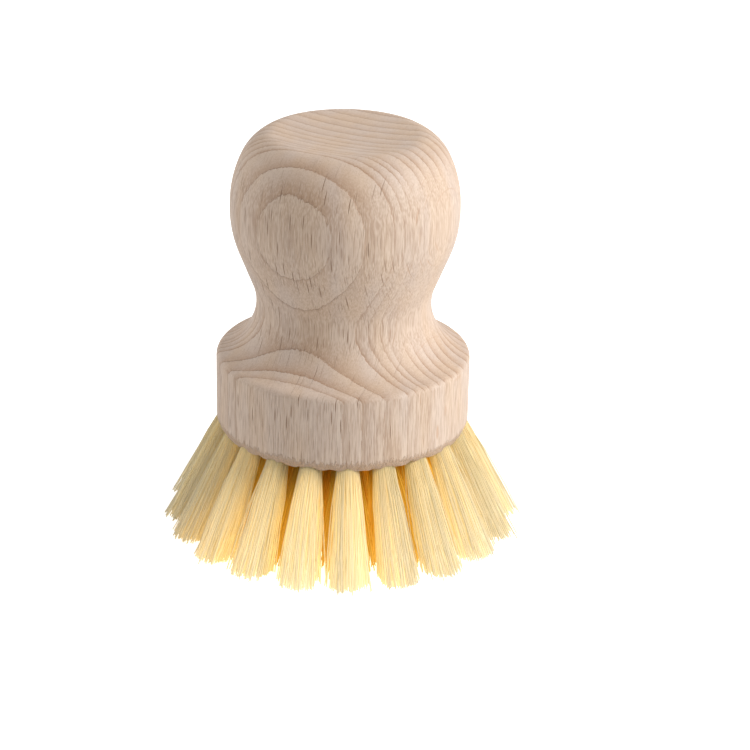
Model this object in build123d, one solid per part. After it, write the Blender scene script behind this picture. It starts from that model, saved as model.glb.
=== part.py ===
from build123d import *

import os
from math import acos, atan, cos, hypot, pi, radians, sin, tan

# Round palm brush: a turned beech block with tufts of bristle held in drilled holes by flat
# metal anchors. The block is one piece of wood, kept as two solids that meet face to face: the
# plain handle, and the drilled foot under it. It stands on its bristle tips. The origin is in the
# middle of the tips, +Z goes up along the turned axis and -Y is the front. Lengths are in mm.

# Turned block, with heights measured from its underside
block_height = 55.6
block_radius = 23.2
rim_chamfer_height = 1.5
rim_chamfer_depth = 0.6
band_height = 14.1
band_edge_bevel = 0.8       # breaks the corner between the band and the cove
neck_radius = 15.9
neck_curve = 9.6            # radius of the hollow that runs up from the narrowest place
waist_length = 6.9          # straight stretch between that hollow and the round of the knob
knob_radius = 20.65
knob_height = 41.5          # of the middle of the knob's lower round
knob_side_height = 0.8      # straight stretch at the knob's widest place, between its two rounds
dish_radius = 13.6
dish_depth = 0.9
dish_edge_bevel = 0.6

# How the curves share out the room between those sizes
crown_start_share = 0.73    # how far up the knob's upper round runs before the crown's tighter curve
cove_foot_share = (0.59, 0.12)      # the cove's pull inwards and upwards from the band
cove_neck_share = 0.46      # its pull downwards from the neck

# Drilled holes
hole_diameter = 4.2         # across the corners
hole_sides = 8              # the holes and the roots packed into them have flats
hole_depth = 9.5            # along the hole
wood_over_holes = 0.8       # the drilled foot ends this far above the deepest hole
outer_ring_inset = 2.4      # from the block's side to the middle of the outer holes' mouths
ring_radius_shares = (1, 0.7, 0.37, 0)
ring_splay_angles = (22, 19, 13, 0)
ring_counts = (20, 14, 6, 1)
ring_names = ("outer", "middle", "inner", "centre")
front_turn = 3              # degrees from the front towards +X to the first tuft of each ring

# Tufts of bristle
bristle_height = 19.4       # from the block's underside to the trimmed tips
tuft_clearance = 0.05
tip_spread_radius = 2.9     # of the outer strands' middles, where they are trimmed
strand_root_radius = 0.4    # from the middle of a strand to its corners
strand_tip_radius = 0.8
strand_sides = 3
inner_strand_counts = (3, 2, 2, 1)
outer_strand_counts = (8, 6, 6, 6)
inner_strand_share = 0.42   # of the outer strands' distance from the tuft's middle
strand_rooting = 0.6        # how deep a strand starts inside the packed root
trim_depth = 0.5            # what the flat cut takes off the tips

# Anchors, flat wire driven across the bottom of each hole
anchor_height = 1.6
anchor_thickness = 0.5
fold_thickness = 0.9        # bristle folded over the anchor

# Tools that cut right through run on by this much
overrun = 3.0

hole_radius = hole_diameter / 2
root_radius = hole_radius - tuft_clearance
root_flat_radius = root_radius * cos(pi / hole_sides)
outer_ring_radius = block_radius - outer_ring_inset
deepest_hole = max(hole_depth * cos(radians(splay)) + hole_radius * sin(radians(splay))
                   for splay in ring_splay_angles)
foot_height = deepest_hole + wood_over_holes


def waist_slope():
    """Angle from the axis of the straight line that touches the neck's hollow and the knob."""
    both_radii = knob_radius + neck_curve
    return acos((neck_radius + neck_curve) / hypot(both_radii, waist_length)) - atan(waist_length / both_radii)


def block_outline():
    """Half section of the block, from the axis at the underside round to the dished top."""
    slope = waist_slope()
    neck_height = knob_height - (knob_radius + neck_curve) * sin(slope) - waist_length * cos(slope)
    upper_height = knob_height + knob_side_height
    crown_slope = atan((block_height - upper_height) * crown_start_share / knob_radius)

    chamfer_foot = (block_radius - rim_chamfer_depth, 0)
    chamfer_top = (block_radius, rim_chamfer_height)
    band_top = (block_radius, band_height)
    neck = (neck_radius, neck_height)
    waist_foot = (neck_radius + neck_curve * (1 - cos(slope)), neck_height + neck_curve * sin(slope))
    waist_top = (knob_radius * cos(slope), knob_height - knob_radius * sin(slope))
    side_foot = (knob_radius, knob_height)
    side_top = (knob_radius, upper_height)
    crown_start = (knob_radius * cos(crown_slope), upper_height + knob_radius * sin(crown_slope))
    dish_edge = (dish_radius, block_height)
    dish_middle = (0, block_height - dish_depth)

    band = Polyline((0, 0), chamfer_foot, chamfer_top, band_top)
    cove_run, cove_rise = block_radius - neck_radius, neck_height - band_height
    foot_pull = (block_radius - cove_run * cove_foot_share[0], band_height + cove_rise * cove_foot_share[1])
    neck_pull = (neck_radius, neck_height - cove_rise * cove_neck_share)
    cove = Bezier(band_top, foot_pull, neck_pull, neck)
    neck_arc = TangentArc(neck, waist_foot, tangent=(0, 1))
    waist = Line(waist_foot, waist_top)
    lower_round = TangentArc(side_foot, waist_top, tangent=(0, -1))
    side = Line(side_foot, side_top)
    upper_round = TangentArc(side_top, crown_start, tangent=(0, 1))
    crown = TangentArc(crown_start, dish_edge, tangent=(-sin(crown_slope), cos(crown_slope)))
    dish = Line(dish_middle, dish_edge)
    axis = Line(dish_middle, (0, 0))
    return make_face([band, cove, neck_arc, waist, lower_round, side, upper_round, crown, dish, axis])


def edge_at(solid, edge_radius, height):
    """The circular edge nearest to this radius and height."""
    circles = solid.edges().filter_by(GeomType.CIRCLE)
    return circles.sort_by(lambda e: abs(e.radius - edge_radius) + abs(e.arc_center.Z - height))[0]


def turned_block():
    """The block as it leaves the lathe, with its underside at the bristles' height."""
    solid = revolve(Plane.XZ * block_outline(), Axis.Z)
    solid = chamfer(edge_at(solid, block_radius, band_height), band_edge_bevel)
    solid = chamfer(edge_at(solid, dish_radius, block_height), dish_edge_bevel)
    return Pos(0, 0, bristle_height) * solid


def hole_frame(ring):
    """Plane at the mouth of the ring's hole on +X: local Z goes into the wood, local X outwards."""
    radius = outer_ring_radius * ring_radius_shares[ring]
    splay = radians(ring_splay_angles[ring])
    return Plane(origin=(radius, 0, bristle_height), x_dir=(cos(splay), 0, sin(splay)),
                 z_dir=(-sin(splay), 0, cos(splay)))


def flatted_bar(radius, start):
    """Bar with flats in a hole's frame, one of them outwards, from start to the hole's bottom."""
    section = RegularPolygon(radius, hole_sides, rotation=180 / hole_sides)
    return Pos(0, 0, start) * extrude(section, hole_depth - start)


def anchor_bar():
    """One anchor in its hole's frame, lying along the ring's radius between the root's flats."""
    height = hole_depth - fold_thickness - anchor_height / 2
    return Pos(0, 0, height) * Box(2 * root_flat_radius, anchor_thickness, anchor_height)


def strand_places(ring):
    """Distance from the tuft's middle, where 1 is the farthest, and angle of each strand."""
    inner_count, outer_count = inner_strand_counts[ring], outer_strand_counts[ring]
    inner_distance = inner_strand_share if inner_count > 1 else 0
    for count, distance in ((inner_count, inner_distance), (outer_count, 1)):
        for number in range(count):
            yield distance, 2 * pi * number / count


def strand_end(middle, along, radius, angle):
    """Corners of a strand's cross-section, in order, with the first one at this angle."""
    plane = Plane(origin=middle, x_dir=(1, 0, 0), z_dir=along)
    turns = [angle + 2 * pi * corner / strand_sides for corner in range(strand_sides)]
    return [plane.from_local_coords(Vector(radius * cos(turn), radius * sin(turn), 0)) for turn in turns]


def strand(root, tip, angle):
    """Flat-sided strand that starts inside the packed root and widens to its tip."""
    along = (tip - root).normalized()
    low = strand_end(root - along * strand_rooting, along, strand_root_radius, angle)
    high = strand_end(tip, along, strand_tip_radius, angle)
    outlines = [low[::-1], high]
    for corner in range(strand_sides):
        following = (corner + 1) % strand_sides
        outlines.append([low[corner], low[following], high[following], high[corner]])
    return Solid(Shell([Face(Wire.make_polygon(outline)) for outline in outlines]))


def tuft(ring):
    """The ring's tuft on +X: a packed root in its hole, and strands that fan out to the floor."""
    frame = hole_frame(ring)
    root_spread = root_flat_radius - strand_root_radius
    reach = bristle_height + trim_depth
    tips_middle = frame.origin.X + reach * tan(radians(ring_splay_angles[ring]))
    strands = []
    for distance, angle in strand_places(ring):
        x, y = distance * cos(angle), distance * sin(angle)
        root = frame.from_local_coords(Vector(x * root_spread, y * root_spread, 0))
        tip = Vector(tips_middle + x * tip_spread_radius, y * tip_spread_radius, -trim_depth)
        strands.append(strand(root, tip, angle))
    packed_root = frame * flatted_bar(root_radius, 0)
    whole = packed_root.fuse(*strands)
    trimmed = split(whole, bisect_by=Plane.XY, keep=Keep.TOP)
    return trimmed - frame * anchor_bar()


def around(shape, ring):
    """Copies of the shape at every place of the ring."""
    step = 360 / ring_counts[ring]
    for number in range(ring_counts[ring]):
        yield Rot(0, 0, front_turn + number * step - 90) * shape


def drilled(solid):
    """This solid with the holes of every ring taken out of it."""
    drill = flatted_bar(hole_radius, -overrun)
    holes = []
    for ring in range(len(ring_names)):
        holes += around(hole_frame(ring) * drill, ring)
    return solid - holes


def save(shape, name):
    """Write one piece, or one group of like pieces, under its node's name."""
    export_step(shape, f"parts/{name}.step")


os.makedirs("parts", exist_ok=True)
block = turned_block()
foot_top = Plane.XY.offset(bristle_height + foot_height)
save(split(block, bisect_by=foot_top, keep=Keep.TOP), "handle_block")
save(drilled(split(block, bisect_by=foot_top, keep=Keep.BOTTOM)), "drilled_foot")
for ring, ring_name in enumerate(ring_names):
    anchors = list(around(hole_frame(ring) * anchor_bar(), ring))
    save(Compound(children=anchors), f"anchors_{ring_name}")
    for number, piece in enumerate(around(tuft(ring), ring), start=1):
        save(piece, f"tuft_{ring_name}_{number:02d}")
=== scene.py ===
from collections import namedtuple
import math
import random

import bpy
import numpy as np
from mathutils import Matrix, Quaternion, Vector, noise


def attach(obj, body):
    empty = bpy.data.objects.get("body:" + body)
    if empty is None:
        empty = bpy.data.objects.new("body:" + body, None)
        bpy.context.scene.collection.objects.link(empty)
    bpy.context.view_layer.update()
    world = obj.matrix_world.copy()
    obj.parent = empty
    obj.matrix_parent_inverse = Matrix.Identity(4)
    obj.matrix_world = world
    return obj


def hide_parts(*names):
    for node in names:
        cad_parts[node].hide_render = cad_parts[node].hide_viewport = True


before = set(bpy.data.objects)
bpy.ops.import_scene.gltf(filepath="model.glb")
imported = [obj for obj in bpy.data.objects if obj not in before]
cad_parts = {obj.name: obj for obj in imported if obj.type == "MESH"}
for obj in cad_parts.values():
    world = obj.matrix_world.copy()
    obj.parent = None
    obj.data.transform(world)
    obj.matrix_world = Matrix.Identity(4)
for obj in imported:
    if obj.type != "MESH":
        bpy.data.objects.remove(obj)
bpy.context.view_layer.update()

# Palm brush: a turned beech block with tufts of bristle in tilted holes. It stands on its bristle tips,
# with +Z up along the turned axis and -Y at the front. Shapes are worked out in millimetres.

MM = 0.001
UP = Vector((0, 0, 1))

# Turned block, with heights measured from its underside
BLOCK_HEIGHT = 55.6
BLOCK_RADIUS = 23.2
RIM_CHAMFER_HEIGHT = 1.5
RIM_CHAMFER_DEPTH = 0.6
BAND_HEIGHT = 14.1
BAND_EDGE_ROUNDING = 1.0
NECK_RADIUS = 15.9
NECK_CURVE = 9.6            # radius of the hollow that runs up from the narrowest place
WAIST_LENGTH = 6.9          # straight stretch between that hollow and the round of the knob
KNOB_RADIUS = 20.65
KNOB_HEIGHT = 41.5
KNOB_SIDE_HEIGHT = 0.8
CROWN_START_SHARE = 0.73    # how far up the knob's upper round runs before the crown's tighter curve
DISH_RADIUS = 13.6
DISH_DEPTH = 0.9
DISH_EDGE_ROUNDING = 0.9
COVE_FOOT_SHARE = (0.59, 0.12)      # the cove's pull inwards and upwards from the band
COVE_NECK_SHARE = 0.46      # its pull downwards from the neck
BLOCK_SIDES = 224

# Tilted holes
HOLE_RADIUS = 2.1
HOLE_DEPTH = 9.5
HOLE_SIDES = 24
OUTER_RING_INSET = 2.4
FRONT_TURN = math.radians(3)
BRISTLE_HEIGHT = 19.4       # from the floor to the block's underside

# Rings of tufts: how many, the share of the outer ring's radius, the splay in degrees, the filaments in a
# tuft, its radius at the tips over its radius in the hole, how far its tips lean past the hole's own
# line, and the painted shade of the one pale bristle that it is made of, deeper in the inner rings
Ring = namedtuple("Ring", "tufts share splay filaments tip_spread tip_reach bristle")
RINGS = {
    "outer": Ring(20, 1.0, 22, 360, 1.75, 0.7, "outer"),
    "middle": Ring(14, 0.7, 19, 330, 2.5, 0, "middle"),
    "inner": Ring(6, 0.37, 13, 330, 3.2, 0, "inner"),
    "centre": Ring(1, 0.0, 0, 330, 3.2, 0, "inner"),
}
Hole = namedtuple("Hole", "ring name mouth splay outward down across along_ring")


def tilted_holes():
    """Every hole: its mouth, and the directions outwards, out of the hole, across it and along its ring."""
    for ring_name, ring in RINGS.items():
        splay = math.radians(ring.splay)
        for number in range(ring.tufts):
            angle = FRONT_TURN + 2 * math.pi * number / ring.tufts - math.pi / 2
            outward = Vector((math.cos(angle), math.sin(angle), 0))
            mouth = outward * (BLOCK_RADIUS - OUTER_RING_INSET) * ring.share
            mouth.z = BRISTLE_HEIGHT
            down = outward * math.sin(splay) - UP * math.cos(splay)
            across = outward * math.cos(splay) + UP * math.sin(splay)
            name = f"{ring_name}_{number + 1:02d}"
            yield Hole(ring, name, mouth, splay, outward, down, across, UP.cross(outward))


# Camera at the photograph's height and distance

CAMERA_AIM = Vector((0, 0, BRISTLE_HEIGHT)) * MM
CAMERA_DISTANCE = 484.9 * MM
CAMERA_RISE = math.radians(24.56)
CAMERA_LEAN = math.radians(0.83)
SENSOR_WIDTH = 36
LENS_LENGTH = 125.6
LENS_SHIFT = (0.0438, 0.0581)


def stand(data, aim, back, distance, lean=0.0):
    """Links a lamp or camera, this far back from its aim and turned towards it."""
    thing = bpy.data.objects.new(data.name, data)
    bpy.context.scene.collection.objects.link(thing)
    thing.location = aim + back * distance
    thing.rotation_mode = "QUATERNION"
    thing.rotation_quaternion = (-back).to_track_quat("-Z", "Y") @ Quaternion((0, 0, 1), lean)
    return thing


def place_camera():
    """Camera in front of the brush, looking a little down on it."""
    lens = bpy.data.cameras.new("view")
    lens.sensor_width = SENSOR_WIDTH
    lens.lens = LENS_LENGTH
    lens.shift_x, lens.shift_y = LENS_SHIFT
    back = Vector((0, -math.cos(CAMERA_RISE), math.sin(CAMERA_RISE)))
    bpy.context.scene.camera = stand(lens, CAMERA_AIM, back, CAMERA_DISTANCE, CAMERA_LEAN)


# Small helpers for shaders

def put(tree, kind, feeds=None, **settings):
    """A new shader node with its settings, and its inputs fed by values or by other sockets."""
    node = tree.nodes.new(kind)
    for name, value in settings.items():
        setattr(node, name, value)
    for name, value in (feeds or {}).items():
        if isinstance(value, bpy.types.NodeSocket):
            tree.links.new(value, node.inputs[name])
        else:
            node.inputs[name].default_value = value
    return node


def arithmetic(tree, operation, *values):
    """The result of one step of arithmetic on numbers or sockets."""
    return put(tree, "ShaderNodeMath", dict(enumerate(values)), operation=operation).outputs[0]


def added(tree, first, *others):
    """All these values added up."""
    for other in others:
        first = arithmetic(tree, "ADD", first, other)
    return first


def multiplied(tree, first, *others):
    """All these values multiplied together."""
    for other in others:
        first = arithmetic(tree, "MULTIPLY", first, other)
    return first


def remap(tree, value, from_low, from_high, to_low=0.0, to_high=1.0):
    """A value carried from one range to another, held at the ends."""
    feeds = {"Value": value, "From Min": from_low, "From Max": from_high, "To Min": to_low, "To Max": to_high}
    return put(tree, "ShaderNodeMapRange", feeds).outputs["Result"]


def stretched(tree, place, sizes):
    """Coordinates divided by these sizes, so that a pattern gets their proportions."""
    scale = tuple(1 / size for size in sizes)
    return put(tree, "ShaderNodeMapping", {"Vector": place, "Scale": scale}).outputs["Vector"]


def cloud(tree, place, sizes, detail=2.0, roughness=0.5):
    """Noise of about these sizes, around one half."""
    feeds = {"Vector": stretched(tree, place, sizes), "Scale": 1.0, "Detail": detail, "Roughness": roughness}
    return put(tree, "ShaderNodeTexNoise", feeds).outputs["Fac"]


# A cloud's values lie mostly between these two
CLOUD_LOW, CLOUD_HIGH = 0.3, 0.7


def cloud_between(tree, low, high, *cloud_settings, **more_settings):
    """Noise as cloud makes it, carried to a range from low to high."""
    return remap(tree, cloud(tree, *cloud_settings, **more_settings), CLOUD_LOW, CLOUD_HIGH, low, high)


def read_off(tree, share, places, values, interpolation):
    """The value for each share from 0 to 1, read off a ramp with a stop at each place."""
    node = put(tree, "ShaderNodeValToRGB", {"Fac": share})
    node.color_ramp.interpolation = interpolation
    stops = node.color_ramp.elements
    stops.remove(stops[1])
    for number, (place, value) in enumerate(zip(places, values)):
        stop = stops.new(place) if number else stops[0]
        stop.color = (value, value, value, 1)
    return node.outputs["Color"]


def blend_colours(tree, share, first, second):
    """First colour where share is 0, second where it is 1."""
    node = put(tree, "ShaderNodeMix", data_type="RGBA")
    for socket, value in ((node.inputs[0], share), (node.inputs[6], first), (node.inputs[7], second)):
        if isinstance(value, bpy.types.NodeSocket):
            tree.links.new(value, socket)
        else:
            socket.default_value = value
    return node.outputs[2]


def blend_shaders(tree, share, first, second):
    """First shader where share is 0, second where it is 1."""
    return put(tree, "ShaderNodeMixShader", {0: share, 1: first, 2: second}).outputs[0]


def new_group(name, inputs, outputs):
    """An empty node group with these sockets, and its two ends."""
    group = bpy.data.node_groups.new(name, "ShaderNodeTree")
    for direction, sockets in (("INPUT", inputs), ("OUTPUT", outputs)):
        for title, kind in sockets:
            group.interface.new_socket(title, in_out=direction, socket_type=kind)
    return group, group.nodes.new("NodeGroupInput"), group.nodes.new("NodeGroupOutput")


def new_material(name):
    """A material with a fresh Principled shader."""
    material = bpy.data.materials.new(name)
    material.use_nodes = True
    tree = material.node_tree
    return material, tree, tree.nodes["Principled BSDF"]


# Beech

# Depth of each growth line towards the front left, from the turning axis
GROWTH_LINES = (-22.5, -20, -17.4, -14.8, -12.1, -9.6, -7.1, -4.6, -1.7, 1.0, 3.2, 5.4, 7.0, 9.3,
                10.4, 11.9, 13.2, 16.7, 19.3, 20.8, 26.0)
GROWTH_TURN = math.radians(116.8)
GROWTH_RADIUS = 320.0       # of the growth line through the turning axis
WIDEST_RING = 6.0           # no ring is wider than this
SWAY = 1.1                  # of the growth lines, from one side to the other
STEPS = 0.45                # of the growth lines from fibre to fibre

# Sizes of the wood's patterns: outwards from the pith, along the growth lines and up the trunk
SWAY_SIZES = (16, 16, 40)
STEP_SIZES = (0.5, 0.5, 5)
HAIRLINE_SIZES = (0.15, 0.15, 2.6)
STREAK_SIZES = (0.27, 0.27, 6.0)
SPECKLE_SIZES = (0.16, 0.16, 0.9)
HUE_SIZES = (4.5, 4.5, 22)
BROAD_STREAK_SIZES = (3.0, 3.0, 30)
PORE_SIZES = (0.28, 0.28, 6)
TORN_SIZES = (0.26, 0.26, 0.9)
RAGGED_SIZES = (0.45, 0.45, 3.0)

# Rays: room for each one along the growth lines and up the trunk, its reach as a share of that room, and
# the share of the rays that stay unseen
FINE_RAYS = ((0.45, 8.0), 0.16, 0.30)
COARSE_RAYS = ((0.80, 14.0), 0.12, 0.40)

PALE_WOOD = (0.545, 0.435, 0.358, 1)
TAN_WOOD = (0.555, 0.420, 0.315, 1)
LATE_WOOD = (0.33, 0.180, 0.095, 1)
FIBRE_BROWN = (0.33, 0.215, 0.145, 1)
FIBRE_PALE = (0.73, 0.61, 0.50, 1)
# dark brown of ring lines, rays and pores, also used as painted shade in each crack of the cut rim
GRAIN_AND_SHADE_BROWN = (0.20, 0.115, 0.065, 1)
RAY_FLAKE = (0.52, 0.31, 0.19, 1)
# cut wood of the rim: partly its own rougher colour, partly painted shade under the lip
CUT_WOOD_AND_SHADE = (0.47, 0.325, 0.220, 1)

# Heights of the surface's relief: of a growth line as a share of its ring's width, the rest in millimetres
RING_RELIEF = 0.045
FIBRE_RELIEF = 0.008
RAY_RELIEF = 0.040
CUT_RELIEF = 0.26


def swinging(tree, place, sizes, swing):
    """Noise that swings about nothing."""
    return multiplied(tree, arithmetic(tree, "SUBTRACT", cloud(tree, place, sizes), 0.5), swing)


def depth_in_tree(tree, turned, outward, sideways):
    """Depth from the axis towards the bark, with a slow sway and the fibres' small steps."""
    from_pith = arithmetic(tree, "ADD", outward, GROWTH_RADIUS)
    squared = added(tree, multiplied(tree, from_pith, from_pith), multiplied(tree, sideways, sideways))
    depth = arithmetic(tree, "SUBTRACT", arithmetic(tree, "SQRT", squared), GROWTH_RADIUS)
    sway = swinging(tree, turned, SWAY_SIZES, SWAY)
    return added(tree, depth, sway, swinging(tree, turned, STEP_SIZES, STEPS))


def growth_rings(tree, depth):
    """How far through its year each place is, its ring's width, and a number of the ring's own."""
    low, high = GROWTH_LINES[0], GROWTH_LINES[-1]
    share = remap(tree, depth, low, high)
    places = [(line - low) / (high - low) for line in GROWTH_LINES]
    count = len(GROWTH_LINES) - 1
    numbers = [number / count for number in range(count + 1)]
    years = multiplied(tree, read_off(tree, share, places, numbers, "LINEAR"), count)
    widths = [(following - line) / WIDEST_RING for line, following in zip(GROWTH_LINES, GROWTH_LINES[1:])]
    width = multiplied(tree, read_off(tree, share, places, widths, "CONSTANT"), WIDEST_RING)
    year = arithmetic(tree, "FLOOR", years)
    own = put(tree, "ShaderNodeTexWhiteNoise", {"W": year}, noise_dimensions="1D").outputs["Value"]
    return arithmetic(tree, "FRACT", years), width, own


def turned_to_growth(tree, vector):
    """A place or direction with X outwards from the pith, Y along the growth lines and Z up the trunk."""
    feeds = {"Vector": vector, "Rotation": (0, 0, GROWTH_TURN)}
    return put(tree, "ShaderNodeMapping", feeds).outputs["Vector"]


def sawn_faces(tree):
    """How flat-sawn, quarter-sawn and end-grained the surface is, and how far it faces up."""
    normal = put(tree, "ShaderNodeTexCoord").outputs["Normal"]
    parts = put(tree, "ShaderNodeSeparateXYZ", {"Vector": turned_to_growth(tree, normal)}).outputs
    flat_sawn, quarter_sawn, end_grain = (arithmetic(tree, "ABSOLUTE", part) for part in parts)
    return flat_sawn, quarter_sawn, end_grain, parts["Z"]


def late_wood_and_slope_shade(tree, season, own, ring_show, upward):
    """Share of brown late wood: painted shade strengthens it on upward slopes, painted light weakens it on
    the flat top.
    """
    sloping = remap(tree, upward, -0.1, 0.45, 0.30, 1.0)
    level = remap(tree, upward, 0.80, 0.98, 1.0, 0.55)
    show = multiplied(tree, sloping, level, ring_show)
    strength = remap(tree, own, 0, 1, 0.65, 1.0)
    return multiplied(tree, arithmetic(tree, "POWER", season, 2.0), strength, show, 0.80)


def fibre_streaks(tree, turned, end_grain):
    """Long thin fibres: dark above nothing, pale below it, and weaker on end grain."""
    hairlines = cloud(tree, turned, HAIRLINE_SIZES, detail=0)
    both = added(tree, hairlines, cloud(tree, turned, STREAK_SIZES, detail=0))
    fibre = remap(tree, both, 0.70, 1.30, -0.36, 0.36)
    speckle = cloud_between(tree, -0.09, 0.09, turned, SPECKLE_SIZES, detail=0)
    return multiplied(tree, added(tree, fibre, speckle), remap(tree, end_grain, 0.15, 0.6, 1.0, 0.4))


def ray_marks(tree, sideways, height, room, reach, unseen):
    """Long thin spots, each at its own place in its room, of which the unseen share is left out."""
    across = arithmetic(tree, "DIVIDE", sideways, room[0])
    upward = arithmetic(tree, "DIVIDE", height, room[1])
    place = put(tree, "ShaderNodeCombineXYZ", {"X": across, "Y": upward}).outputs["Vector"]
    spots = put(tree, "ShaderNodeTexVoronoi", {"Vector": place, "Scale": 1.0}, voronoi_dimensions="2D")
    spot = remap(tree, spots.outputs["Distance"], reach, reach * 0.6)
    chosen = put(tree, "ShaderNodeSeparateColor", {"Color": spots.outputs["Color"]}).outputs[0]
    return multiplied(tree, spot, remap(tree, chosen, unseen, unseen + 0.25))


def end_pores(tree, turned, end_grain):
    """Small dark pores, clearest on end grain."""
    spots = put(tree, "ShaderNodeTexVoronoi", {"Vector": stretched(tree, turned, PORE_SIZES), "Scale": 1.0})
    pore = remap(tree, spots.outputs["Distance"], 0.30, 0.12)
    return multiplied(tree, pore, remap(tree, end_grain, 0.4, 0.95, 0.10, 0.35))


def cut_rim(tree, place, height, torn):
    """Where chamfer and underside are left as they were cut, and the painted shade in each crack and in the
    fold along the lip.
    """
    ragged = cloud_between(tree, -0.75, 0.45, place, RAGGED_SIZES)
    lip = arithmetic(tree, "SUBTRACT", added(tree, height, ragged), RIM_CHAMFER_HEIGHT)
    cut = remap(tree, lip, 0.25, -0.35)
    crease_shade = multiplied(tree, remap(tree, arithmetic(tree, "ABSOLUTE", lip), 0.16, 0.04), 0.28)
    rim_shade = multiplied(tree, cut, remap(tree, torn, 0.45, 0.33, 0.0, 0.75))
    return cut, arithmetic(tree, "MAXIMUM", crease_shade, rim_shade)


def beech_material():
    """Bare sanded beech: growth rings, long fibres, rays and pores, all cut from one solid figure."""
    material, tree, shader = new_material("bare_beech")
    where = put(tree, "ShaderNodeTexCoord").outputs["Object"]
    feeds = {"Vector": where, "Scale": (1 / MM,) * 3, "Location": (0, 0, -BRISTLE_HEIGHT)}
    place = put(tree, "ShaderNodeMapping", feeds).outputs["Vector"]
    turned = turned_to_growth(tree, place)
    outward, sideways, height = put(tree, "ShaderNodeSeparateXYZ", {"Vector": turned}).outputs
    flat_sawn, quarter_sawn, end_grain, upward = sawn_faces(tree)

    # growth rings: late wood darkens towards each thin line and is weak on quarter-sawn faces,
    # and painted shade strengthens it on upward slopes
    season, width, own = growth_rings(tree, depth_in_tree(tree, turned, outward, sideways))
    ring_show = remap(tree, arithmetic(tree, "MAXIMUM", flat_sawn, end_grain), 0.30, 0.72, 0.20, 1.0)
    late = late_wood_and_slope_shade(tree, season, own, ring_show, upward)
    to_line = multiplied(tree, arithmetic(tree, "SUBTRACT", 1.0, season), width)
    line = multiplied(tree, remap(tree, to_line, 0.26, 0.04), ring_show, 0.20)

    # fibres, over a slow change from pale to tan
    fibre = fibre_streaks(tree, turned, end_grain)
    hue = remap(tree, cloud(tree, turned, HUE_SIZES, detail=1), 0.35, 0.65)
    broad = cloud_between(tree, 0.0, 0.16, turned, BROAD_STREAK_SIZES)
    dark_fibre = added(tree, broad, arithmetic(tree, "MAXIMUM", fibre, 0.0))
    pale_fibre = arithmetic(tree, "MAXIMUM", multiplied(tree, fibre, -0.8), 0.0)
    colour = blend_colours(tree, hue, PALE_WOOD, TAN_WOOD)
    colour = blend_colours(tree, late, colour, LATE_WOOD)
    colour = blend_colours(tree, dark_fibre, colour, FIBRE_BROWN)
    colour = blend_colours(tree, pale_fibre, colour, FIBRE_PALE)
    colour = blend_colours(tree, line, colour, GRAIN_AND_SHADE_BROWN)

    # rays: thin sheets that run outwards from the pith, dashes when flat-sawn and flakes when quarter-sawn
    fine = multiplied(tree, ray_marks(tree, sideways, height, *FINE_RAYS), 0.45)
    coarse = multiplied(tree, ray_marks(tree, sideways, height, *COARSE_RAYS), 0.90)
    ray = arithmetic(tree, "MAXIMUM", fine, coarse)
    dash = multiplied(tree, ray, remap(tree, flat_sawn, 0.35, 0.90, 0.15, 1.0))
    flake = multiplied(tree, ray, remap(tree, quarter_sawn, 0.70, 0.97, 0.0, 0.5))
    colour = blend_colours(tree, dash, colour, GRAIN_AND_SHADE_BROWN)
    colour = blend_colours(tree, flake, colour, RAY_FLAKE)
    colour = blend_colours(tree, end_pores(tree, turned, end_grain), colour, GRAIN_AND_SHADE_BROWN)

    # the rim as it was cut: browner wood darkened as painted shade under the lip, and painted shade in each
    # crack and fold
    torn = cloud(tree, turned, TORN_SIZES, detail=4, roughness=0.75)
    cut, rim_shade = cut_rim(tree, place, height, torn)
    shaded_cut = multiplied(tree, cut, remap(tree, torn, 0.35, 0.65, 0.15, 0.95))
    colour = blend_colours(tree, shaded_cut, colour, CUT_WOOD_AND_SHADE)
    colour = blend_colours(tree, rim_shade, colour, GRAIN_AND_SHADE_BROWN)

    # relief in millimetres: the surface falls towards each growth line and steps up after it
    fall = multiplied(tree, arithmetic(tree, "POWER", season, 3.0), remap(tree, season, 1.0, 0.97))
    fall = multiplied(tree, fall, ring_show, width, RING_RELIEF)
    relief = arithmetic(tree, "SUBTRACT", multiplied(tree, fibre, FIBRE_RELIEF), fall)
    relief = arithmetic(tree, "SUBTRACT", relief, multiplied(tree, ray, RAY_RELIEF))
    relief = added(tree, relief, multiplied(tree, cut, torn, CUT_RELIEF))
    bump = put(tree, "ShaderNodeBump", {"Height": relief, "Strength": 1.0, "Distance": MM})
    tree.links.new(colour, shader.inputs["Base Color"])
    tree.links.new(bump.outputs["Normal"], shader.inputs["Normal"])
    tree.links.new(remap(tree, torn, CLOUD_LOW, CLOUD_HIGH, 0.52, 0.66), shader.inputs["Roughness"])
    shader.inputs["Specular IOR Level"].default_value = 0.35
    return material


# Bristle and steel

# Painted shade of the one pale yellow bristle, ring by ring: its colour at the root, at the tip, and the
# fade's power along it. The deeper orange roots and the darker inner rings are painted shade and painted glow
# of light that reaches them only through other filaments.
Bristle = namedtuple("Bristle", "root tip fade")
BRISTLE_SHADES = {
    "outer": Bristle((0.80, 0.695, 0.43, 1), (0.83, 0.770, 0.60, 1), 0.7),
    "middle": Bristle((0.72, 0.515, 0.085, 1), (0.73, 0.57, 0.20, 1), 3.0),
    "inner": Bristle((0.72, 0.500, 0.080, 1), (0.73, 0.56, 0.19, 1), 3.0),
}
DARKEST_FILAMENT, BRIGHTEST_FILAMENT = 0.87, 1.06
BRISTLE_ROUGHNESS = 0.42
PASSED_ON = (0.9985, 0.9935, 0.977, 1)      # what each filament wall passes on of a lamp's light
LIT_BEHIND = 0.54           # share of a filament's light that comes through it from behind
OPEN_TO_FILL = 0.5          # share of the light from all round that passes a filament
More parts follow.
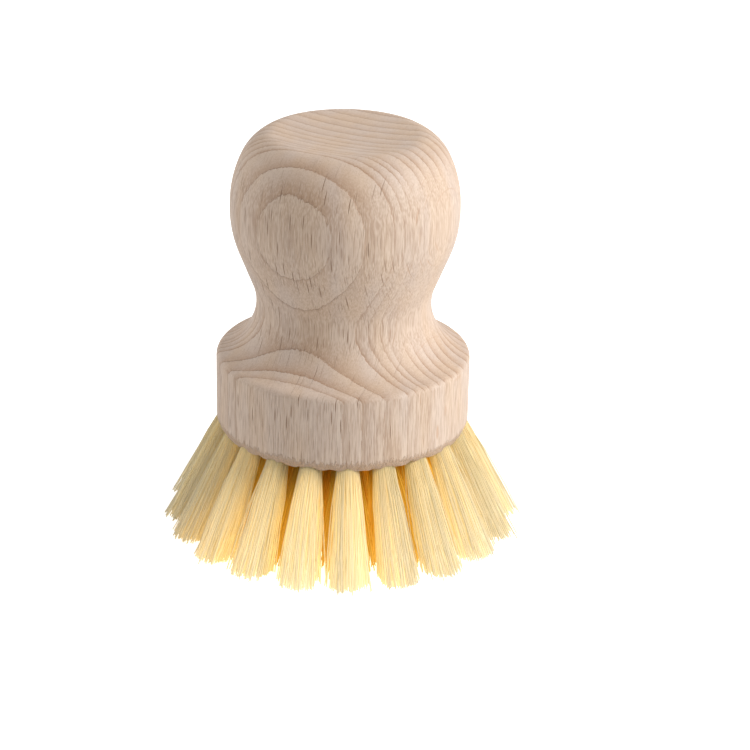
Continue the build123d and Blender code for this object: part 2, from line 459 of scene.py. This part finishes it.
TUFT_SIDE_SHARE = 0.2       # how far a filament is shaded as its tuft's round side would be

DARK_STEEL = (0.46, 0.47, 0.48, 1)
BRIGHT_STEEL = (0.70, 0.71, 0.72, 1)
DRAWING_MARK_SIZES = (0.4 * MM, 0.4 * MM, 0.05 * MM)


def filament_group():
    """Colour of a filament: painted shade deeper towards its root, and a little different from its
    neighbours.
    """
    inputs = (("Root", "NodeSocketColor"), ("Tip", "NodeSocketColor"), ("Fade", "NodeSocketFloat"))
    group, start, end = new_group("filament_tone_and_shade", inputs, (("Color", "NodeSocketColor"),))
    along = put(group, "ShaderNodeAttribute", attribute_name="along").outputs["Fac"]
    own = put(group, "ShaderNodeAttribute", attribute_name="own").outputs["Fac"]
    share = arithmetic(group, "POWER", along, start.outputs["Fade"])
    colour = blend_colours(group, share, start.outputs["Root"], start.outputs["Tip"])
    value = remap(group, own, 0, 1, DARKEST_FILAMENT, BRIGHTEST_FILAMENT)
    colour = put(group, "ShaderNodeHueSaturation", {"Color": colour, "Value": value}).outputs["Color"]
    group.links.new(colour, end.inputs["Color"])
    return group


def filament_side(tree):
    """Normal of a filament, leaning a little towards the normal of its whole tuft."""
    own_side = put(tree, "ShaderNodeNewGeometry").outputs["Normal"]
    tuft_side = put(tree, "ShaderNodeAttribute", attribute_name="tuft_side").outputs["Vector"]
    tuft_side = put(tree, "ShaderNodeVectorTransform", {"Vector": tuft_side}, vector_type="NORMAL",
                    convert_from="OBJECT", convert_to="WORLD").outputs["Vector"]
    blended = put(tree, "ShaderNodeMix", {"Factor": TUFT_SIDE_SHARE}, data_type="VECTOR")
    tree.links.new(own_side, blended.inputs[4])
    tree.links.new(tuft_side, blended.inputs[5])
    return put(tree, "ShaderNodeVectorMath", {0: blended.outputs[1]}, operation="NORMALIZE").outputs["Vector"]


def bristle_material(name, group):
    """Satin pale yellow filament, clear enough for a tuft to glow through."""
    material, tree, shader = new_material("bristle_" + name)
    node = put(tree, "ShaderNodeGroup", node_tree=group)
    for title, value in zip(("Root", "Tip", "Fade"), BRISTLE_SHADES[name]):
        node.inputs[title].default_value = value
    colour = node.outputs["Color"]
    side = filament_side(tree)
    tree.links.new(colour, shader.inputs["Base Color"])
    tree.links.new(side, shader.inputs["Normal"])
    shader.inputs["Roughness"].default_value = BRISTLE_ROUGHNESS
    lit_behind = put(tree, "ShaderNodeBsdfTranslucent", {"Color": colour, "Normal": side}).outputs[0]
    passed_on = put(tree, "ShaderNodeBsdfTransparent", {"Color": PASSED_ON}).outputs[0]
    path = put(tree, "ShaderNodeLightPath").outputs
    plastic = blend_shaders(tree, LIT_BEHIND, shader.outputs[0], lit_behind)
    half_open = blend_shaders(tree, OPEN_TO_FILL, plastic, passed_on)
    seen = blend_shaders(tree, path["Is Diffuse Ray"], plastic, half_open)
    both = blend_shaders(tree, path["Is Shadow Ray"], seen, passed_on)
    tree.links.new(both, tree.nodes["Material Output"].inputs["Surface"])
    return material


def steel_material():
    """Zinc-coated flat wire with drawing marks."""
    material, tree, shader = new_material("anchor_steel")
    where = put(tree, "ShaderNodeTexCoord").outputs["Object"]
    marks = cloud(tree, where, DRAWING_MARK_SIZES)
    tree.links.new(blend_colours(tree, marks, DARK_STEEL, BRIGHT_STEEL), shader.inputs["Base Color"])
    tree.links.new(remap(tree, marks, CLOUD_LOW, CLOUD_HIGH, 0.25, 0.45), shader.inputs["Roughness"])
    shader.inputs["Metallic"].default_value = 1.0
    return material


# Modelling

def deselect():
    """Nothing stays selected, and object mode is on."""
    if bpy.context.object and bpy.context.object.mode != "OBJECT":
        bpy.ops.object.mode_set(mode="OBJECT")
    bpy.ops.object.select_all(action="DESELECT")


def pick(*pieces):
    """Only these pieces are selected, and the first one is active."""
    deselect()
    for piece in pieces:
        piece.select_set(True)
    bpy.context.view_layer.objects.active = pieces[0]


def arc_points(middle, radius, start, end, count):
    """Points along an arc, from one angle to the other."""
    for number in range(count + 1):
        angle = start + (end - start) * number / count
        yield middle[0] + radius * math.cos(angle), middle[1] + radius * math.sin(angle)


def tangent_arc(start, heading, end, count):
    """Points of the arc that leaves start along heading and ends at end."""
    start, end = np.array(start), np.array(end)
    side = np.array((-heading[1], heading[0]))
    chord = end - start
    radius = chord @ chord / (2 * (chord @ side))
    middle = start + radius * side
    first = math.atan2(*(start - middle)[::-1])
    turn = 2 * math.atan2(chord @ side, chord @ np.array(heading))
    return list(arc_points(middle, abs(radius), first, first + turn, count))


def bezier_points(controls, count):
    """Points along a curve with three or four control points."""
    controls = [np.array(control, float) for control in controls]
    for number in range(count + 1):
        line, share = controls, number / count
        while len(line) > 1:
            line = [a * (1 - share) + b * share for a, b in zip(line, line[1:])]
        yield tuple(line[0])


# Rows of points along the outline: shares of the underside and of the chamfer, and counts on the rest
UNDERSIDE_SHARES = (0.3, 0.6, 0.8, 0.9, 0.96, 0.99)
CHAMFER_SHARES = (0.06, 0.35, 0.65, 0.94)
BAND_START_SHARE = 1.12     # of the chamfer's height
BAND_ROWS, COVE_ROWS, ROUNDING_ROWS, NECK_ROWS = 12, 40, 6, 6
LOWER_KNOB_ROWS, UPPER_KNOB_ROWS, CROWN_ROWS, DISH_ROWS = 10, 8, 24, 14


def rim_and_band():
    """Points from the middle of the underside out over the chamfer and up the band."""
    chamfer_foot = BLOCK_RADIUS - RIM_CHAMFER_DEPTH
    line = [(0, 0)] + [(chamfer_foot * share, 0) for share in UNDERSIDE_SHARES]
    line += [(chamfer_foot + RIM_CHAMFER_DEPTH * share, RIM_CHAMFER_HEIGHT * share)
             for share in CHAMFER_SHARES]
    low, high = RIM_CHAMFER_HEIGHT * BAND_START_SHARE, BAND_HEIGHT - BAND_EDGE_ROUNDING
    return line + [(BLOCK_RADIUS, low + (high - low) * row / BAND_ROWS) for row in range(BAND_ROWS)]


def cove_points(neck_height):
    """Points over the band's rounded edge and up the cove to the neck."""
    band_top = (BLOCK_RADIUS, BAND_HEIGHT)
    run, rise = BLOCK_RADIUS - NECK_RADIUS, neck_height - BAND_HEIGHT
    foot_pull = (BLOCK_RADIUS - run * COVE_FOOT_SHARE[0], BAND_HEIGHT + rise * COVE_FOOT_SHARE[1])
    neck_pull = (NECK_RADIUS, neck_height - rise * COVE_NECK_SHARE)
    cove = list(bezier_points((band_top, foot_pull, neck_pull, (NECK_RADIUS, neck_height)), COVE_ROWS))
    past = next(number for number, point in enumerate(cove)
                if math.dist(point, band_top) > BAND_EDGE_ROUNDING)
    edge_foot = (BLOCK_RADIUS, BAND_HEIGHT - BAND_EDGE_ROUNDING)
    return list(bezier_points((edge_foot, band_top, cove[past]), ROUNDING_ROWS))[:-1] + cove[past:-1:2]


def crown_and_dish(crown_start, crown_slope):
    """Points over the crown and the dish's rounded edge, in to the middle of the dish."""
    dish_edge = (DISH_RADIUS, BLOCK_HEIGHT)
    heading = (-math.sin(crown_slope), math.cos(crown_slope))
    crown = tangent_arc(crown_start, heading, dish_edge, CROWN_ROWS)
    dish = tangent_arc((0, BLOCK_HEIGHT - DISH_DEPTH), (1, 0), dish_edge, DISH_ROWS)[::-1]
    outside = [point for point in crown[1:] if math.dist(point, dish_edge) > DISH_EDGE_ROUNDING]
    inside = [point for point in dish if math.dist(point, dish_edge) > DISH_EDGE_ROUNDING]
    rounding = list(bezier_points((outside[-1], dish_edge, inside[0]), ROUNDING_ROWS))[1:-1]
    return outside[::2] + [outside[-1]] + rounding + inside


def block_outline():
    """Half section of the block, from the middle of its underside round to the middle of the dish."""
    both_radii = KNOB_RADIUS + NECK_CURVE
    slope = (math.acos((NECK_RADIUS + NECK_CURVE) / math.hypot(both_radii, WAIST_LENGTH))
             - math.atan(WAIST_LENGTH / both_radii))
    neck_height = KNOB_HEIGHT - both_radii * math.sin(slope) - WAIST_LENGTH * math.cos(slope)
    upper_height = KNOB_HEIGHT + KNOB_SIDE_HEIGHT
    crown_slope = math.atan((BLOCK_HEIGHT - upper_height) * CROWN_START_SHARE / KNOB_RADIUS)
    crown_start = (KNOB_RADIUS * math.cos(crown_slope), upper_height + KNOB_RADIUS * math.sin(crown_slope))
    neck_middle = (NECK_RADIUS + NECK_CURVE, neck_height)
    line = rim_and_band() + cove_points(neck_height)
    line += arc_points(neck_middle, NECK_CURVE, math.pi, math.pi - slope, NECK_ROWS)
    line += arc_points((0, KNOB_HEIGHT), KNOB_RADIUS, -slope, 0, LOWER_KNOB_ROWS)
    line += arc_points((0, upper_height), KNOB_RADIUS, 0, crown_slope, UPPER_KNOB_ROWS)
    return line + crown_and_dish(crown_start, crown_slope)


def turned_shape(name, outline, steps):
    """A solid of revolution: the outline is drawn point by point, spun round and closed."""
    deselect()
    points = [Vector((x, 0, z)) * MM for x, z in outline]
    bpy.ops.mesh.primitive_plane_add(size=MM, location=(0, 0, 0))
    piece = bpy.context.object
    piece.name = piece.data.name = name
    bpy.ops.object.mode_set(mode="EDIT")
    bpy.ops.mesh.select_all(action="SELECT")
    bpy.ops.mesh.merge(type="CENTER")
    bpy.ops.transform.translate(value=points[0])
    for here, there in zip(points, points[1:]):
        bpy.ops.mesh.extrude_region_move(TRANSFORM_OT_translate={"value": there - here})
    bpy.ops.mesh.select_all(action="SELECT")
    bpy.ops.mesh.spin(steps=steps, angle=2 * math.pi, center=(0, 0, 0), axis=(0, 0, 1))
    bpy.ops.mesh.select_all(action="SELECT")
    bpy.ops.mesh.remove_doubles(threshold=MM / 1000)
    bpy.ops.mesh.normals_make_consistent(inside=False)
    bpy.ops.object.mode_set(mode="OBJECT")
    return piece


# How far the drills start below the underside
DRILL_OVERRUN = 3.0


def drill_holes(piece):
    """Cuts every tilted hole into the underside with one joined cutter."""
    deselect()
    bpy.ops.mesh.primitive_cylinder_add(vertices=HOLE_SIDES, radius=HOLE_RADIUS * MM, location=(0, 0, 0),
                                        depth=(HOLE_DEPTH + DRILL_OVERRUN) * MM)
    drills = [bpy.context.object]
    for number, hole in enumerate(tilted_holes()):
        if number:
            drills.append(drills[0].copy())
            drills[-1].data = drills[0].data.copy()
            bpy.context.scene.collection.objects.link(drills[-1])
        middle = hole.mouth - hole.down * (HOLE_DEPTH - DRILL_OVERRUN) / 2
        drills[-1].rotation_mode = "QUATERNION"
        drills[-1].rotation_quaternion = hole.down.to_track_quat("Z", "Y")
        drills[-1].location = middle * MM
    pick(*drills)
    bpy.ops.object.join()
    cutter = bpy.context.object
    pick(piece)
    cut = piece.modifiers.new("holes", "BOOLEAN")
    cut.operation = "DIFFERENCE"
    cut.object = cutter
    cut.solver = "EXACT"
    bpy.ops.object.modifier_apply(modifier=cut.name)
    bpy.data.objects.remove(cutter)


# Chips along the rim: how high and how far in they reach, how deep they are, how far the rim may sink,
# and how many of the broad and the small ones there are to a metre
CHIP_HEIGHT = RIM_CHAMFER_HEIGHT * 1.1
CHIP_INSET = 2.2
CHIP_SWING = 1.3
CHIP_SINK = 0.05
BROAD_CHIPS, SMALL_CHIPS = 650, 1900


def roughen_rim(piece):
    """Small chips along the rim between chamfer and underside."""
    for corner in piece.data.vertices:
        low = corner.co.z / MM - BRISTLE_HEIGHT
        reach = math.hypot(corner.co.x, corner.co.y) / MM
        if low < CHIP_HEIGHT and reach > BLOCK_RADIUS - CHIP_INSET:
            share = max(0.0, 1 - low / CHIP_HEIGHT)
            swing = noise.noise(corner.co * BROAD_CHIPS) * 0.6 + noise.noise(corner.co * SMALL_CHIPS) * 0.4
            corner.co.z += max(-CHIP_SINK, swing * CHIP_SWING) * share * MM


def make_handle(material):
    """The wooden block: turned, chipped along its rim, drilled from below and smoothed."""
    outline = [(x, z + BRISTLE_HEIGHT) for x, z in block_outline()]
    piece = turned_shape("wooden_handle", outline, BLOCK_SIDES)
    roughen_rim(piece)
    drill_holes(piece)
    pick(piece)
    bpy.ops.object.shade_smooth_by_angle(angle=math.radians(35))
    piece.data.materials.clear()
    piece.data.materials.append(material)
    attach(piece, "root")
    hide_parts("handle_block", "drilled_foot")


# Filaments, in millimetres where nothing else is said
FILAMENT_RADIUS = 0.11
FILAMENT_SIDES = 5
FILAMENT_ROWS = (-3.0, 0.0, 0.35, 0.7, 1.0)     # millimetres inside the hole, then shares of the way down
FILAMENT_THICKNESSES = (0.93, 1.05)             # shares of the radius
ROOT_GAP = 0.06             # between the outermost filaments and the hole's wall
GOLDEN_ANGLE = math.pi * (3 - math.sqrt(5))
TIP_JITTER = 0.40
BOW = 0.30                  # of a filament, halfway down
TRIM_SLANT = 0.12           # rise of a tuft's trimmed end from its middle, to each millimetre
TIP_UNEVENNESS = 0.25
FLOOR_GAP = 0.02            # under the lowest tips
STRAY_SHARE, STRAY_SPREAD = 0.05, (0.15, 0.5)   # how many filaments spread further, and by what share
SHORT_SHARE, SHORT_BY = 0.10, (0.3, 1.5)        # how many filaments are shorter, and by how much
TONE_PATCHES = 0.9          # to a millimetre
TONE_SWING, OWN_TONE_SWING = 0.9, 0.3
SEED_STEP = 3.7             # moves the patches from tuft to tuft
FIRST_SEED = 11


def straight_filament():
    """One filament of unit radius with rows one unit apart: a closed bar, drawn out row by row."""
    deselect()
    bpy.ops.mesh.primitive_circle_add(vertices=FILAMENT_SIDES, radius=1, fill_type="NGON", location=(0, 0, 0))
    piece = bpy.context.object
    bpy.ops.object.mode_set(mode="EDIT")
    bpy.ops.mesh.select_all(action="SELECT")
    for _ in FILAMENT_ROWS[1:]:
        bpy.ops.mesh.extrude_region_move(TRANSFORM_OT_translate={"value": (0, 0, 1)})
    bpy.ops.mesh.select_all(action="SELECT")
    bpy.ops.mesh.normals_make_consistent(inside=False)
    bpy.ops.object.mode_set(mode="OBJECT")
    corners = [(corner.co.x, corner.co.y, round(corner.co.z)) for corner in piece.data.vertices]
    faces = [tuple(face.vertices) for face in piece.data.polygons]
    bpy.data.objects.remove(piece)
    return corners, faces


def sometimes(chance, share, low, high):
    """A draw between low and high for this share of the draws, and otherwise nothing."""
    return chance.uniform(low, high) if chance.random() < share else 0


def laid_filaments(hole, seed):
    """Each filament of a tuft: its line from root to tip, heading, thickness, tone and side of the tuft."""
    chance = random.Random(seed)
    ring = hole.ring
    tips_middle = hole.mouth + hole.down * (BRISTLE_HEIGHT / math.cos(hole.splay))
    tips_middle += hole.outward * ring.tip_reach
    turn = chance.uniform(0, 2 * math.pi)
    slant = Vector((chance.uniform(-1, 1), chance.uniform(-1, 1))) * TRIM_SLANT
    for number in range(ring.filaments):
        reach = math.sqrt((number + 0.5) / ring.filaments) * (HOLE_RADIUS - FILAMENT_RADIUS - ROOT_GAP)
        angle = number * GOLDEN_ANGLE + turn
        x, y = reach * math.cos(angle), reach * math.sin(angle)
        spread = ring.tip_spread * (1 + sometimes(chance, STRAY_SHARE, *STRAY_SPREAD))
        tip_x = x * spread + chance.gauss(0, TIP_JITTER)
        tip_y = y * spread + chance.gauss(0, TIP_JITTER)
        rise = abs(chance.gauss(0, TIP_UNEVENNESS)) + sometimes(chance, SHORT_SHARE, *SHORT_BY)
        rise += slant.x * x + slant.y * y
        root = hole.mouth + hole.across * x + hole.along_ring * y
        way = tips_middle + hole.outward * tip_x + hole.along_ring * tip_y - root
        way *= (root.z - max(rise, FLOOR_GAP)) / root.z
        bow = hole.across * chance.gauss(0, BOW) + hole.along_ring * chance.gauss(0, BOW)
        line = [root + hole.down * FILAMENT_ROWS[0]]
        line += [root + way * share + bow * (4 * share * (1 - share)) for share in FILAMENT_ROWS[1:]]
        thick = FILAMENT_RADIUS * chance.uniform(*FILAMENT_THICKNESSES)
        patch = noise.noise(Vector((x * TONE_PATCHES, y * TONE_PATCHES, seed * SEED_STEP)))
        tone = 0.5 + TONE_SWING * patch + chance.uniform(-OWN_TONE_SWING, OWN_TONE_SWING)
        side = (hole.across * x + hole.along_ring * y).normalized()
        yield line, way.normalized(), thick, min(max(tone, 0.0), 1.0), side


def make_tuft(hole, seed, bar, material):
    """One tuft: the filament is laid along many lines that fan out from the hole to the floor."""
    bar_corners, bar_faces = bar
    corners, faces, along, own, tuft_side = [], [], [], [], []
    for line, heading, thick, tone, side in laid_filaments(hole, seed):
        faces += [tuple(corner + len(corners) for corner in face) for face in bar_faces]
        first = heading.orthogonal().normalized()
        second = heading.cross(first)
        for a, b, row in bar_corners:
            corners.append((line[row] + (first * a + second * b) * thick) * MM)
            along.append(max(0.0, FILAMENT_ROWS[row]))
            own.append(tone)
            tuft_side.extend(side)
    mesh = bpy.data.meshes.new("bristles_" + hole.name)
    mesh.from_pydata(corners, [], faces)
    for title, values in (("along", along), ("own", own)):
        mesh.attributes.new(title, "FLOAT", "POINT").data.foreach_set("value", values)
    mesh.attributes.new("tuft_side", "FLOAT_VECTOR", "POINT").data.foreach_set("vector", tuft_side)
    mesh.update()
    piece = bpy.data.objects.new("bristles_" + hole.name, mesh)
    bpy.context.scene.collection.objects.link(piece)
    pick(piece)
    bpy.ops.object.shade_smooth_by_angle(angle=math.radians(65))
    mesh.materials.append(material)
    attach(piece, "root")
    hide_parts("tuft_" + hole.name)


# Floor and light

FLOOR_SIZE = 8
FLOOR_COLOUR = (0.90, 0.90, 0.90, 1)
FLOOR_GLOW = 0.6            # lifts the floor to white for the camera
WHITE = (1, 1, 1, 1)
FILL = 0.43
LAMP_AIM = Vector((0, 0, 40)) * MM
LAMP_DISTANCE = 1.0
TRANSPARENT_BOUNCES = 160
DIFFUSE_BOUNCES = 8


def plain_floor():
    """Large pale floor, lifted to white for the camera, that keeps the soft shadow."""
    deselect()
    bpy.ops.mesh.primitive_plane_add(size=FLOOR_SIZE, location=(0, 0, 0))
    floor = bpy.context.object
    floor.name = "floor"
    material, tree, shader = new_material("pale_floor")
    shader.inputs["Base Color"].default_value = FLOOR_COLOUR
    shader.inputs["Roughness"].default_value = 0.9
    shader.inputs["Specular IOR Level"].default_value = 0.0
    seen = put(tree, "ShaderNodeLightPath").outputs["Is Camera Ray"]
    glow = put(tree, "ShaderNodeEmission", {"Color": WHITE, "Strength": multiplied(tree, seen, FLOOR_GLOW)})
    both = put(tree, "ShaderNodeAddShader", {0: shader.outputs[0], 1: glow.outputs[0]})
    tree.links.new(both.outputs[0], tree.nodes["Material Output"].inputs["Surface"])
    floor.data.materials.append(material)


def white_surroundings():
    """White to the camera and in reflections, and a weak even fill otherwise."""
    world = bpy.data.worlds.new("surroundings")
    bpy.context.scene.world = world
    world.use_nodes = True
    tree = world.node_tree
    path = put(tree, "ShaderNodeLightPath").outputs
    seen = arithmetic(tree, "MAXIMUM", path["Is Camera Ray"], path["Is Glossy Ray"])
    seen = arithmetic(tree, "MAXIMUM", seen, path["Is Transmission Ray"])
    background = tree.nodes["Background"]
    background.inputs["Color"].default_value = WHITE
    tree.links.new(remap(tree, seen, 0, 1, FILL, 1.0), background.inputs["Strength"])


def soft_light(name, azimuth, height, size, power):
    """Square soft light aimed at the brush. Azimuth is from the front towards the right, in degrees."""
    turn, rise = math.radians(azimuth), math.radians(height)
    light = bpy.data.lights.new(name, "AREA")
    light.shape = "SQUARE"
    light.size = size
    light.energy = power
    back = Vector((math.sin(turn) * math.cos(rise), -math.cos(turn) * math.cos(rise), math.sin(rise)))
    stand(light, LAMP_AIM, back, LAMP_DISTANCE)


# The scene

bpy.context.scene.view_settings.view_transform = "Standard"
bpy.context.scene.cycles.transparent_max_bounces = TRANSPARENT_BOUNCES
bpy.context.scene.cycles.diffuse_bounces = DIFFUSE_BOUNCES
place_camera()
plain_floor()
white_surroundings()
soft_light("key_right", azimuth=75, height=32, size=0.55, power=11.9)
soft_light("fill_left", azimuth=-110, height=24, size=0.7, power=4.2)

make_handle(beech_material())

filament_tone_and_shade = filament_group()
bristles = {name: bristle_material(name, filament_tone_and_shade) for name in BRISTLE_SHADES}
bar = straight_filament()
for seed, hole in enumerate(tilted_holes(), start=FIRST_SEED):
    make_tuft(hole, seed, bar, bristles[hole.ring.bristle])

steel = steel_material()
for ring_name in RINGS:
    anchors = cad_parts["anchors_" + ring_name]
    anchors.data.materials.clear()
    anchors.data.materials.append(steel)
